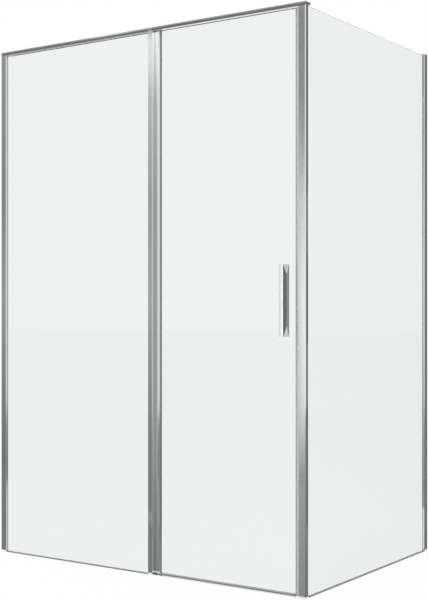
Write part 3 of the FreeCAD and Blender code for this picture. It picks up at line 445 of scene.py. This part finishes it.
class ShowerSizes(bpy.types.PropertyGroup):
    pane_edge: length("Pane edge", "Ground chamfer of the panes", 0.7 * MM)
    strip_edge: length("Strip edge", "Rounded edges of the gaskets", 0.3 * MM)
    sill_edge: length("Channel edge", "Rounded edges of the bottom channels", 0.15 * MM)
    sill_lean: length("Channel lip", "Slope of the bottom channels' lips", 0.6 * MM)
    wiper_edge: length("Wiper edge", "Rounded edges of the door's bottom seal", 0.2 * MM)
    wiper_foot: length("Wiper foot", "Height of that seal's feet", 0.8 * MM)
    handle_rise: length("Handle ridge", "Rise of the ridges on the handle's flanks", 2.2 * MM)
    handle_slope: length("Handle slope", "Sloped end of a ridge", 33 * MM)
    handle_edge: length("Handle edge", "Rounded edges of the handle", 0.5 * MM)
    pull_edge: length("Inner pull edge", "Rounded edges of the inner pull", 1.0 * MM)
    bolt_head: length("Bolt head", "Radius of the handle screws' heads", 3.6 * MM)
    bolt_high: length("Bolt head height", "Height of those heads", 2.8 * MM)
    bolt_shank: length("Bolt shank", "Radius of the handle screws", 2.4 * MM)
    bolt_hex: length("Hexagon", "Radius of the hexagon socket", 1.9 * MM)
    bolt_edge: length("Bolt edge", "Rounded rims of those heads", 0.2 * MM)
    bolt_room: length("Bolt room", "Play of the heads in their counterbores", 0.1 * MM)
    shank_edge: length("Shank edge", "Rounded ends of the screws' shanks", 0.3 * MM)
    screw_head: length("Screw head", "Radius of the header screws' heads", 3.4 * MM)
    screw_sink: length("Screw sink", "Depth of those flush heads", 0.8 * MM)
    screw_shank: length("Screw shank", "Radius of those screws", 1.6 * MM)
    screw_edge: length("Screw edge", "Rounded rims of those heads", 0.1 * MM)
    cover_dome: length("Cover rim", "Rounded rim of the cover caps", 1.6 * MM)
    cover_hollow: length("Cover hollow", "Radius of the caps' hollow for the screw heads", 3.5 * MM)
    cover_deep: length("Cover depth", "Depth of that hollow", 2.1 * MM)
    roller_bore: length("Roller bore", "Radius of the rollers' bores", 1.05 * MM)
    roller_rim: length("Roller rim", "Rim beside the recess of a roller", 1.0 * MM)
    roller_dip: length("Roller recess", "Depth of the recess in a roller's side", 0.35 * MM)
    roller_edge: length("Roller edge", "Rounded rims of the rollers", 0.15 * MM)
    axle_edge: length("Axle edge", "Rounded ends of the axles", 0.25 * MM)


# ---------------------------------------------------------------- operators


class SHOWER_OT_metal(bpy.types.Operator):
    """Dress the aluminium sections, the header and the threshold."""

    bl_idname = "shower.metal"
    bl_label = "Aluminium Sections"

    def execute(self, context):
        for node in UPRIGHTS:
            dress(NODES[node], "aluminium_upright")
        for node in ALONG_FRONT:
            dress(NODES[node], "aluminium_along")
        dress(NODES["header_end_cap"], "chrome")
        return {"FINISHED"}


def screw_spots():
    """Middles of the two handle screws."""
    low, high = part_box("handle_bushes")
    radius = (high.x - low.x) / 2
    middle = middle_of(low, high)
    return [Vector((middle.x, middle.y, z)) for z in (low.z + radius, high.z - radius)], radius


class SHOWER_OT_glass(bpy.types.Operator):
    """Model the three panes with their ground edges and the holes for the handle."""

    bl_idname = "shower.glass"
    bl_label = "Panes"

    def execute(self, context):
        edge = context.scene.shower_sizes.pane_edge
        for node, body in PANES:
            low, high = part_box(node)
            pane = block("pane_" + node.split("_")[0], low, high)
            if node == "door_glass":
                spots, radius = screw_spots()
                for spot in spots:
                    cut(pane, rod("hole", spot, radius, 3 * (high.y - low.y), "Y"))
            take(pane)
            grind = pane.modifiers.new("Ground edges", "BEVEL")
            grind.width = edge
            grind.segments = 1
            grind.limit_method = "ANGLE"
            grind.angle_limit = RIM_ANGLE
            bpy.ops.object.modifier_apply(modifier=grind.name)
            thin = 0 if high.x - low.x < high.y - low.y else 1
            fit(pane, "glass_clear", body, "glass_clear", node)
            pane.data.materials.append(MATERIALS["glass_edge"])
            for face in pane.data.polygons:
                face.material_index = 0 if abs(face.normal[thin]) > FLAT else 1
            pane.visible_shadow = False
            pane.visible_glossy = False
        return {"FINISHED"}


class SHOWER_OT_seals(bpy.types.Operator):
    """Model the gaskets, the bottom channels and the door's bottom seal, and dress the other seals."""

    bl_idname = "shower.seals"
    bl_label = "Seals"

    def execute(self, context):
        sizes = context.scene.shower_sizes
        for strips, slot in STRIPS:
            for node, body in strips:
                strip = block(node + "_bead", *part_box(node))
                soften(strip, sizes.strip_edge)
                strip.visible_glossy = node not in WALL_BEADS
                fit(strip, BEAD_PAINTED_LIGHT_AND_SHADE.get(node, slot), body, slot, node)
        for node, pane, axis in (("fixed_sill", "fixed_glass", "X"), ("side_sill", "side_glass", "Y")):
            self.sill(sizes, node, pane, axis)
        self.bottom_seal(sizes)
        for node in CLEAR_TRIM:
            dress(NODES[node], "pvc_clear")
        # Painted light: the header's gasket and infill get the paler PVC.
        for node in PAINTED_LIGHT_TRIM:
            dress(NODES[node], "pvc_painted_light")
        for node in GREY_TRIM:
            dress(NODES[node], "plastic_grey")
        NODES["door_edge_seal"].visible_glossy = False
        dress(NODES["door_edge_magnet"], "magnet_dark")
        return {"FINISHED"}

    @staticmethod
    def sill(sizes, node, pane, axis):
        """A bottom channel whose lips lean on the pane."""
        low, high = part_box(node)
        across = 1 if axis == "X" else 0
        near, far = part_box(pane)
        left, right, floor = near[across], far[across], near.z
        lean = sizes.sill_lean
        corners = [
            (low[across], low.z), (high[across], low.z), (high[across], high.z - lean),
            (high[across] - lean, high.z), (right, high.z), (right, floor), (left, floor), (left, high.z),
            (low[across] + lean, high.z), (low[across], high.z - lean),
        ]
        along = 0 if axis == "X" else 1
        piece = section(node + "_channel", axis, corners, low[along], high[along])
        soften(piece, sizes.sill_edge, 2)
        # The channel is drawn in a darker rubber than its grey rubber slot: painted shade.
        fit(piece, "rubber_sill_painted_shade", "frame", "rubber_grey", node)

    @staticmethod
    def bottom_seal(sizes):
        """The door's bottom seal: two cheeks on the pane and two feet that wipe the threshold."""
        low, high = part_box("door_bottom_seal")
        near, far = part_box("door_glass")
        foot = sizes.wiper_foot
        corners = [
            (low.y, high.z), (near.y, high.z), (near.y, near.z), (far.y, near.z), (far.y, high.z),
            (high.y, high.z), (high.y, low.z + foot), (high.y - foot, low.z), (far.y - foot, low.z + foot),
            (near.y + foot, low.z + foot), (low.y + foot, low.z), (low.y, low.z + foot),
        ]
        piece = section("door_wiper", "X", corners, low.x, high.x)
        soften(piece, sizes.wiper_edge, 2)
        fit(piece, "rubber_grey", "door", "rubber_grey", "door_bottom_seal")


class SHOWER_OT_handle(bpy.types.Operator):
    """Model the outer handle, the inner pull and their screws."""

    bl_idname = "shower.handle"
    bl_label = "Handle Set"

    def execute(self, context):
        sizes = context.scene.shower_sizes
        self.outer(sizes)
        self.inner(sizes)
        dress(NODES["handle_bushes"], "nylon_white")
        return {"FINISHED"}

    @staticmethod
    def outer(sizes):
        """A block whose flanks rise to a ridge and slope down at both ends."""
        low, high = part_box("handle_outer")
        rise = sizes.handle_rise
        grip = block("handle_grip", low + Vector((rise, 0, 0)), high - Vector((rise, 0, 0)))
        middle = middle_of(low, high)
        ridge = 1 - 2 * sizes.handle_slope / (high.z - low.z)
        for side, edge in ((-1, low.x), (1, high.x)):
            pick(grip, "FACE", lambda face: face.normal.x * side > FACING)
            push((side * rise, 0, 0))
            bpy.ops.transform.resize(value=(1, 0, ridge), center_override=(edge, middle.y, middle.z))
            bpy.ops.mesh.select_all(action="SELECT")
            bpy.ops.mesh.remove_doubles(threshold=TOUCH)
            done()
        soften(grip, sizes.handle_edge)
        fit(grip, "chrome", "door", "chrome", "handle_outer")

    @staticmethod
    def inner(sizes):
        """A flat pull with two counterbored socket screws."""
        low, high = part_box("handle_inner")
        pull = block("inner_pull", low, high)
        spots, _ = screw_spots()
        first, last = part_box("handle_screws")
        under = last.y - sizes.bolt_high
        seat_radius = sizes.bolt_head + sizes.bolt_room
        screws = []
        for spot in spots:
            seat = Vector((spot.x, last.y - sizes.bolt_high / 2, spot.z))
            cut(pull, rod("counterbore", seat, seat_radius, sizes.bolt_high + TOUCH, "Y"))
            through = Vector((spot.x, middle_of(low, high).y, spot.z))
            cut(pull, rod("bore", through, sizes.bolt_shank, 3 * (high.y - low.y), "Y"))
            head = rod("bolt_head", seat, sizes.bolt_head, sizes.bolt_high, "Y", 64)
            mouth = Vector((spot.x, last.y, spot.z))
            cut(head, rod("hexagon", mouth, sizes.bolt_hex, HEXAGON_DEEP * sizes.bolt_high, "Y", 6))
            round_bar(head, sizes.bolt_edge)
            inside = Vector((spot.x, (first.y + under) / 2, spot.z))
            shank = rod("bolt_shank", inside, sizes.bolt_shank, under - first.y, "Y", 32)
            round_bar(shank, sizes.shank_edge)
            screws += [head, shank]
        soften(pull, sizes.pull_edge)
        fit(pull, "chrome", "door", "chrome_inner", "handle_inner")
        fit(joined("handle_bolts", screws), "steel_satin", "door", "steel", "handle_screws")


class SHOWER_OT_fasteners(bpy.types.Operator):
    """Model the header screws and the cover caps, and dress the hidden screws."""

    bl_idname = "shower.fasteners"
    bl_label = "Screws and Caps"

    def execute(self, context):
        sizes = context.scene.shower_sizes
        self.header_screws(sizes)
        self.covers(sizes, "screw_covers_left", "Y", 1)
        self.covers(sizes, "screw_covers_right", "X", -1)
        for node in STEEL:
            dress(NODES[node], "steel_satin")
        return {"FINISHED"}

    @staticmethod
    def header_screws(sizes):
        """Two flush screws with a cross recess, in the header's top."""
        low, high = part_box("header_screws")
        radius = sizes.screw_head
        top = high.z - sizes.screw_sink / 2
        first = Vector((low.x + radius, low.y + radius, top))
        second = Vector((high.x - radius, high.y - radius, top))
        head = rod("screw_head", first, radius, sizes.screw_sink, "Z", 64)
        long, wide = CROSS_LONG * radius, CROSS_WIDE * radius
        mouth = Vector((first.x, first.y, high.z))
        for across, along in ((long, wide), (wide, long)):
            reach = Vector((across, along, CROSS_DEEP * sizes.screw_sink))
            cut(head, block("cross", mouth - reach, mouth + reach))
        round_bar(head, sizes.screw_edge)
        under = high.z - sizes.screw_sink
        inside = Vector((first.x, first.y, (low.z + under) / 2))
        shank = rod("screw_shank", inside, sizes.screw_shank, under - low.z, "Z", 32)
        round_bar(shank, sizes.shank_edge)
        one = joined("header_screw", [head, shank])
        two = copied(one, "header_screw_right", second - first)
        fit(joined("header_fixings", [one, two]), "steel_satin", "frame", "steel", "header_screws")

    @staticmethod
    def covers(sizes, node, axis, side):
        """Three round cover caps with a domed rim, hollow for the screw heads."""
        low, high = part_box(node)
        depth = 1 if axis == "Y" else 0
        across = 1 - depth
        radius = (high[across] - low[across]) / 2
        spot = middle_of(low, high)
        spot.z = low.z + radius
        cap = rod("cover_cap", spot, radius, high[depth] - low[depth], axis, 64)
        face_at = high[depth] if side > 0 else low[depth]
        back_at = low[depth] if side > 0 else high[depth]
        points = cap.data.vertices
        pick(cap, "EDGE", lambda edge: all(abs(points[p].co[depth] - face_at) < TOUCH for p in edge.vertices))
        bpy.ops.mesh.bevel(offset=sizes.cover_dome, segments=DOME_STEPS, affect="EDGES")
        done()
        hollow = Vector(spot)
        hollow[depth] = back_at
        cut(cap, rod("hollow", hollow, sizes.cover_hollow, 2 * sizes.cover_deep, axis))
        take(cap)
        bpy.ops.object.shade_smooth_by_angle(angle=SHADE_ROUND)
        step = (high.z - low.z - 2 * radius) / 2
        caps = [cap] + [copied(cap, "cover_cap_%d" % k, Vector((0, 0, k * step))) for k in (1, 2)]
        fit(joined(node + "_caps", caps), "plastic_grey", "frame", "plastic_grey", node)


class SHOWER_OT_rollers(bpy.types.Operator):
    """Model the four door rollers and their axles, and dress the carriages."""

    bl_idname = "shower.rollers"
    bl_label = "Rollers"

    def execute(self, context):
        sizes = context.scene.shower_sizes
        low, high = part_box(ROLLERS[0])
        start = middle_of(low, high)
        first = self.roller(sizes, low, high)
        for node in ROLLERS:
            wheel = first
            if node != ROLLERS[0]:
                wheel = copied(first, node, middle_of(*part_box(node)) - start)
            wheel.name = node + "_wheel"
            fit(wheel, "nylon_white", node, "nylon_white", node)
        low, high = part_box(AXLES[0])
        start = middle_of(low, high)
        first = rod("axle", start, (high.z - low.z) / 2, high.y - low.y, "Y", 32)
        round_bar(first, sizes.axle_edge)
        for node in AXLES:
            pin = first
            if node != AXLES[0]:
                pin = copied(first, node, middle_of(*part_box(node)) - start)
            pin.name = node + "_pin"
            fit(pin, "steel_satin", "door", "steel", node)
        for node in CARRIAGES:
            dress(NODES[node], "zinc_cast")
        return {"FINISHED"}

    @staticmethod
    def roller(sizes, low, high):
        """A small wheel with a recess in each side and a bore for its axle."""
        spot = middle_of(low, high)
        wheel = rod("roller", spot, (high.z - low.z) / 2, high.y - low.y, "Y", 96)
        for side in (-1, 1):
            pick(wheel, "FACE", lambda face: face.normal.y * side > FACING)
            bpy.ops.mesh.inset(thickness=sizes.roller_rim, depth=0)
            push((0, -side * sizes.roller_dip, 0))
            done()
        cut(wheel, rod("bore", spot, sizes.roller_bore, 3 * (high.y - low.y), "Y", 32))
        round_bar(wheel, sizes.roller_edge)
        return wheel


# ---------------------------------------------------------------- stage


CAMERA_SPOT = Vector((2.4750, -3.6018, 0.8891))
CAMERA_TURN = (90, 0, 34.465)
CAMERA_LENS = 70.60
CAMERA_FILM = 36.0
CAMERA_RISE = 0.0195
CAMERA_NEAR = 0.05

# Each lamp: its name, its place, its turn in degrees, its size and its power.
LAMPS = (
    ("key", (-2.2, -3.6, 3.4), (48, 0, -30), 2.6, 60),
    ("fill", (3.6, -1.8, 2.8), (52, 0, 62), 2.4, 30),
)
ROOM_LIGHT = 0.7
FLOOR_SIZE = 80
FLOOR_DROP = -0.0005
FLOOR_GLOW = 1.02
FLOOR_SHARE = 0.88

# The cards' grey levels are pairs: a place along one axis in metres, and the level there.
# They aren't neutral studio light. They were set for this camera, render after render,
# until the metal came near the photograph's brightness. Most heights on the uprights' cards are
# those that rows 100, 200, 300 and 400 of the photograph mirror, where the two were compared.
# Cards for the uprights: the card, the upright, where the card starts and ends, its levels.
UPRIGHT_REACH = 2.45
UPRIGHT_CARDS = (
    ("card_left", "frame_profile_left", -0.3, 0.3, (
        (0.0, 0.2), (0.38, 0.24), (0.96, 0.37), (1.54, 0.28), (2.362, 0.34),
    )),
    ("card_middle", "fixed_stile", -0.3, 0.3, (
        (0.0, 0.25), (0.40, 0.27), (0.95, 0.42), (1.5, 0.36), (2.05, 0.55), (2.25, 0.85),
        (2.405, 1.0),
    )),
    ("card_post_left", "corner_post", -0.16, 0.0, (
        (0.0, 0.3), (0.1, 0.45), (0.43, 0.52), (0.95, 0.52), (1.47, 0.6), (1.75, 0.45), (2.0, 0.31),
        (2.476, 0.28),
    )),
    ("card_post_right", "corner_post", 0.0, 0.16, (
        (0.0, 0.3), (0.1, 0.4), (0.43, 1.1), (0.95, 1.3), (1.47, 0.8), (1.75, 0.45), (2.0, 0.31),
        (2.476, 0.28),
    )),
)
HEADER_REACH = 2.5
HEADER_SPARE = 0.1
HEADER_LEVELS = ((2.3, 0.33), (3.2, 0.33))

# Standing cards: the card, its two ends on the plan, bottom, top, the axis of its levels, its levels.
END_LEVELS = ((0.4, 0.65), (1.4, 0.65))
STANDING_CARDS = (
    ("card_camera", ((0.83, -2.28), (1.58, -1.73)), 0, 3.2, "Z", (
        (0.0, 0.42), (0.44, 0.52), (0.95, 0.55), (1.45, 0.54), (1.96, 0.7), (2.26, 1.3), (3.2, 1.3),
    )),
    ("card_back", ((0.67, 0.62), (1.78, 0.62)), 0, 3.2, "X", (
        (0.67, 0.14), (0.8, 0.26), (0.9, 0.3), (1.1, 0.22), (1.26, 0.15), (1.5, 0.16), (1.78, 0.19),
    )),
    ("card_end_low", ((1.12, 0.6), (1.228, 0.6)), 0.50, 0.76, "Z", END_LEVELS),
    ("card_end_high", ((1.12, 0.6), (1.228, 0.6)), 1.13, 1.38, "Z", END_LEVELS),
    ("card_grip", ((-0.70, -2.5), (-0.64, -2.5)), 0.6, 1.3, "X", (
        (-0.70, 0.5), (-0.673, 0.6), (-0.668, 0.8), (-0.663, 1.1), (-0.655, 1.25), (-0.64, 1.1),
    )),
)

# Cards on the floor: the card, left, right, near, far, height, the axis of its levels, its levels.
NEAR_LEVELS = ((-2.6, 0.4), (-1.2, 0.34), (-0.5, 0.3))
FLOOR_CARDS = (
    ("card_floor", -6, 6, -6, -0.465, 0.001, "Y", ((-6.0, 0.24), (-0.5, 0.22))),
    ("card_near_floor", 0.05, 1.6, -2.6, -0.465, 0.002, "Y", NEAR_LEVELS),
    ("card_post_floor", -0.7, 0.05, -2.6, -1.2, 0.002, "Y", NEAR_LEVELS),
    ("card_side_floor", 0.66, 6, -0.465, 4, 0.001, "X", (
        (0.66, 0.2), (1.2, 0.24), (1.9, 0.33), (4.5, 0.45),
    )),
)


def only_glossy(piece):
    """Makes a piece of the stage show in reflections alone."""
    piece.visible_camera = False
    piece.visible_diffuse = False
    piece.visible_transmission = False
    piece.visible_volume_scatter = False
    piece.visible_shadow = False


def card_material(name, axis, stops):
    """Light of a studio card: grey levels along one axis, as (place, level) pairs in metres."""
    material = bpy.data.materials.new(name)
    material.use_nodes = True
    tree = material.node_tree
    tree.nodes.clear()
    out = tree.nodes.new("ShaderNodeOutputMaterial")
    light = tree.nodes.new("ShaderNodeEmission")
    place = tree.nodes.new("ShaderNodeTexCoord")
    split = tree.nodes.new("ShaderNodeSeparateXYZ")
    span = tree.nodes.new("ShaderNodeMapRange")
    ramp = tree.nodes.new("ShaderNodeValToRGB")
    low, high = stops[0][0], stops[-1][0]
    span.inputs["From Min"].default_value = low
    span.inputs["From Max"].default_value = high
    while len(ramp.color_ramp.elements) < len(stops):
        ramp.color_ramp.elements.new(0.5)
    for element, (spot, level) in zip(ramp.color_ramp.elements, stops):
        element.position = (spot - low) / (high - low)
        element.color = (level, level, level, 1)
    tree.links.new(place.outputs["Object"], split.inputs["Vector"])
    tree.links.new(split.outputs[axis], span.inputs["Value"])
    tree.links.new(span.outputs["Result"], ramp.inputs["Fac"])
    tree.links.new(ramp.outputs["Color"], light.inputs["Color"])
    tree.links.new(light.outputs["Emission"], out.inputs["Surface"])
    return material


def card(name, corners, axis, levels):
    """A flat card from its four corners."""
    mesh = bpy.data.meshes.new(name)
    mesh.from_pydata(corners, [], [(0, 1, 2, 3)])
    mesh.materials.append(card_material(name, axis, levels))
    piece = bpy.data.objects.new(name, mesh)
    bpy.context.scene.collection.objects.link(piece)
    only_glossy(piece)


def standing_card(name, ends, low, high, axis, levels):
    """A standing card between two places on the floor plan."""
    (ax, ay), (bx, by) = ends
    card(name, [(ax, ay, low), (bx, by, low), (bx, by, high), (ax, ay, high)], axis, levels)


def floor_card(name, left, right, near, far, z, axis, levels):
    """A card that lies flat."""
    card(name, [(left, near, z), (right, near, z), (right, far, z), (left, far, z)], axis, levels)


def mirrored(x, y, reach):
    """The place on the plan that a front face at x, y shows the camera, with the way across it."""
    away = Vector((x - CAMERA_SPOT.x, CAMERA_SPOT.y - y)).normalized()
    return Vector((x, y)) + away * reach, Vector((-away.y, away.x))


class SHOWER_OT_stage(bpy.types.Operator):
    """Set up the floor, the studio light, the reflection cards and the camera."""

    bl_idname = "shower.stage"
    bl_label = "Stage"

    def execute(self, context):
        scene = context.scene
        scene.view_settings.view_transform = "Standard"
        self.room(scene)
        self.floor()
        self.cards()
        self.lamps(scene)
        self.camera(scene)
        return {"FINISHED"}

    @staticmethod
    def lamps(scene):
        """Two soft lamps that light the matt parts and show in no reflection."""
        for name, place, turn, size, power in LAMPS:
            light = bpy.data.lights.new(name, "AREA")
            light.size = size
            light.energy = power
            lamp = bpy.data.objects.new(name, light)
            lamp.location = place
            lamp.rotation_euler = [math.radians(angle) for angle in turn]
            lamp.visible_glossy = False
            lamp.visible_transmission = False
            scene.collection.objects.link(lamp)

    @staticmethod
    def camera(scene):
        """The camera, in the place that the two vanishing points give."""
        view = bpy.data.cameras.new("camera")
        view.sensor_width = CAMERA_FILM
        view.lens = CAMERA_LENS
        view.shift_y = CAMERA_RISE
        view.clip_start = CAMERA_NEAR
        camera = bpy.data.objects.new("camera", view)
        camera.location = CAMERA_SPOT
        camera.rotation_euler = [math.radians(angle) for angle in CAMERA_TURN]
        scene.collection.objects.link(camera)
        scene.camera = camera

    def room(self, scene):
        """White where it is seen, a plain level as light."""
        world = bpy.data.worlds.new("Studio")
        scene.world = world
        world.use_nodes = True
        tree = world.node_tree
        tree.nodes.clear()
        out = tree.nodes.new("ShaderNodeOutputWorld")
        blend = tree.nodes.new("ShaderNodeMixShader")
        room = tree.nodes.new("ShaderNodeBackground")
        room.inputs["Strength"].default_value = ROOM_LIGHT
        seen = tree.nodes.new("ShaderNodeBackground")
        seen.inputs["Strength"].default_value = 1.0
        for node in (room, seen):
            node.inputs["Color"].default_value = (1, 1, 1, 1)
        tree.links.new(self.seen_rays(tree), blend.inputs["Fac"])
        tree.links.new(room.outputs["Background"], blend.inputs[1])
        tree.links.new(seen.outputs["Background"], blend.inputs[2])
        tree.links.new(blend.outputs["Shader"], out.inputs["Surface"])

    def floor(self):
        """A white floor that keeps a little of the object's shadow."""
        clear_selection()
        bpy.ops.mesh.primitive_plane_add(size=FLOOR_SIZE, location=(0, 0, FLOOR_DROP))
        floor = bpy.context.object
        floor.name = "floor"
        material, shader = base_material("floor_pale", Roughness=0.9, Specular_IOR_Level=0.0)
        shader.inputs["Base Color"].default_value = (0.95, 0.95, 0.95, 1)
        tree = material.node_tree
        glow = tree.nodes.new("ShaderNodeEmission")
        glow.inputs["Strength"].default_value = FLOOR_GLOW
        blend = tree.nodes.new("ShaderNodeMixShader")
        share = tree.nodes.new("ShaderNodeMath")
        share.operation = "MULTIPLY"
        share.inputs[1].default_value = FLOOR_SHARE
        tree.links.new(self.seen_rays(tree), share.inputs[0])
        tree.links.new(share.outputs[0], blend.inputs["Fac"])
        tree.links.new(shader.outputs["BSDF"], blend.inputs[1])
        tree.links.new(glow.outputs["Emission"], blend.inputs[2])
        tree.links.new(blend.outputs["Shader"], tree.nodes["Material Output"].inputs["Surface"])
        floor.data.materials.append(material)

    @staticmethod
    def cards():
        """Grey and white cards that the bright metal mirrors."""
        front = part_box("header_rail")[0].y
        for name, node, start, end, levels in UPRIGHT_CARDS:
            spot, across = mirrored(middle_of(*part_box(node)).x, front, UPRIGHT_REACH)
            ends = (spot + across * start, spot + across * end)
            standing_card(name, ends, 0, levels[-1][0], "Z", levels)
        left, _ = mirrored(CAD_LOW.x - HEADER_SPARE, front, HEADER_REACH)
        right, _ = mirrored(CAD_HIGH.x + HEADER_SPARE, front, HEADER_REACH)
        low, high = HEADER_LEVELS[0][0], HEADER_LEVELS[-1][0]
        standing_card("card_header", (left, right), low, high, "Z", HEADER_LEVELS)
        for row in STANDING_CARDS:
            standing_card(*row)
        for row in FLOOR_CARDS:
            floor_card(*row)

    @staticmethod
    def seen_rays(tree):
        """1 for camera, glossy and transmission rays."""
        path = tree.nodes.new("ShaderNodeLightPath")
        seen = path.outputs["Is Camera Ray"]
        for kind in ("Is Glossy Ray", "Is Transmission Ray"):
            either = tree.nodes.new("ShaderNodeMath")
            either.operation = "MAXIMUM"
            tree.links.new(seen, either.inputs[0])
            tree.links.new(path.outputs[kind], either.inputs[1])
            seen = either.outputs[0]
        return seen


OPERATORS = (
    SHOWER_OT_metal, SHOWER_OT_glass, SHOWER_OT_seals, SHOWER_OT_handle, SHOWER_OT_fasteners,
    SHOWER_OT_rollers, SHOWER_OT_stage,
)


class SHOWER_PT_panel(bpy.types.Panel):
    """Lists the enclosure's pieces, sizes and colours."""

    bl_idname = "SHOWER_PT_panel"
    bl_label = "Shower Enclosure"
    bl_space_type = "VIEW_3D"
    bl_region_type = "UI"
    bl_category = "Shower"

    def draw(self, context):
        for operator in OPERATORS:
            self.layout.operator(operator.bl_idname)
        for settings in (context.scene.shower_colours, context.scene.shower_sizes):
            for name in settings.bl_rna.properties.keys():
                if name not in ("rna_type", "name"):
                    self.layout.prop(settings, name)


CLASSES = (ShowerColours, ShowerSizes, *OPERATORS, SHOWER_PT_panel)


def register():
    for item in CLASSES:
        bpy.utils.register_class(item)
    bpy.types.Scene.shower_colours = bpy.props.PointerProperty(type=ShowerColours)
    bpy.types.Scene.shower_sizes = bpy.props.PointerProperty(type=ShowerSizes)


def unregister():
    del bpy.types.Scene.shower_sizes
    del bpy.types.Scene.shower_colours
    for item in reversed(CLASSES):
        bpy.utils.unregister_class(item)


def main():
    register()
    make_materials()
    for operator in OPERATORS:
        area, name = operator.bl_idname.split(".")
        getattr(getattr(bpy.ops, area), name)()


if __name__ == "__main__":
    main()
